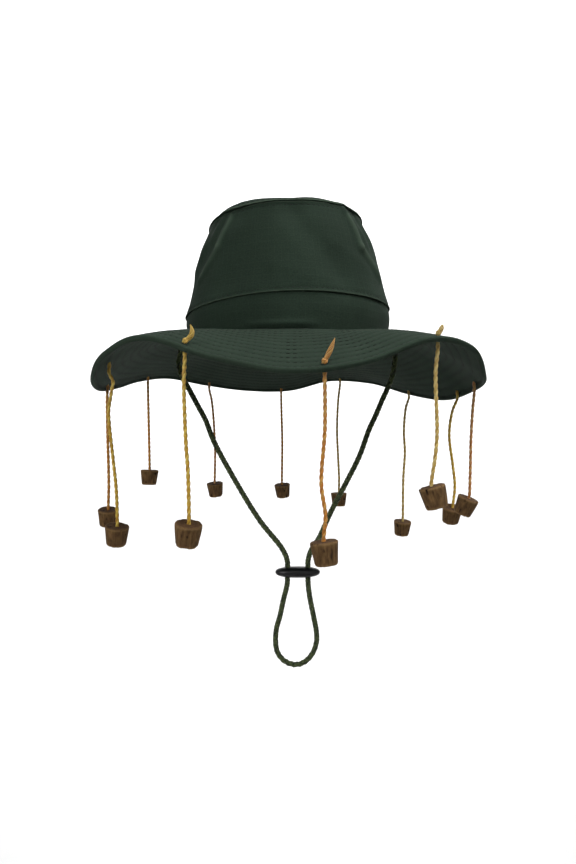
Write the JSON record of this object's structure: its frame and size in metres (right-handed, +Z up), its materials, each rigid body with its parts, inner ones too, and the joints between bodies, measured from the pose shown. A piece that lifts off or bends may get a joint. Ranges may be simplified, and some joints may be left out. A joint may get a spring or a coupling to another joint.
{
  "type": "cork hat",
  "caption": "Soft cotton hat with a wide wavy brim, corks hanging on strings all round its hem, and a cord under the chin with a slide.",
  "frame": {"origin": "middle of the head opening, at the height of the brim's seam in front, where a head carries the hat", "axes": "+Z up, the wearer looks along -Y, +X to the wearer's left"},
  "size_m": [0.3221, 0.3673, 0.3886],
  "materials": {
    "cotton_cloth": "matte",
    "cork": "matte",
    "string_yellow": "matte",
    "string_orange": "matte",
    "string_straw": "matte",
    "string_rust": "matte",
    "chin_cord": "matte",
    "slide_plastic": "satin",
    "vent_metal": "satin",
    "eyelet_metal": "satin"
  },
  "bodies": {
    "root": {"brim": "cotton_cloth", "crown_band": "cotton_cloth", "crown_wall": "cotton_cloth", "crown_tip": "cotton_cloth", "vent_eyelet_right": "vent_metal", "vent_eyelet_left": "vent_metal", "cork_string_01": "string_yellow", "string_knot_01": "string_yellow", "cork_01": "cork", "cork_string_02": "string_orange", "string_knot_02": "string_orange", "cork_02": "cork", "cork_string_03": "string_straw", "string_knot_03": "string_straw", "cork_03": "cork", "cork_string_04": "string_rust", "string_knot_04": "string_rust", "cork_04": "cork", "cork_string_05": "string_yellow", "string_knot_05": "string_yellow", "cork_05": "cork", "cork_string_06": "string_straw", "string_knot_06": "string_straw", "cork_06": "cork", "cork_string_07": "string_straw", "string_knot_07": "string_straw", "cork_07": "cork", "cork_string_08": "string_orange", "string_knot_08": "string_orange", "cork_08": "cork", "cork_string_09": "string_rust", "string_knot_09": "string_rust", "cork_09": "cork", "cork_string_10": "string_orange", "string_knot_10": "string_orange", "cork_10": "cork", "cork_string_11": "string_orange", "string_knot_11": "string_orange", "cork_11": "cork", "cork_string_12": "string_yellow", "string_knot_12": "string_yellow", "cork_12": "cork", "chin_cord": "chin_cord", "cord_eyelet_right": "eyelet_metal", "cord_eyelet_left": "eyelet_metal", "cord_knot_right": "chin_cord", "cord_knot_left": "chin_cord", "cord_slide": "slide_plastic"}
  },
  "joints": []
}
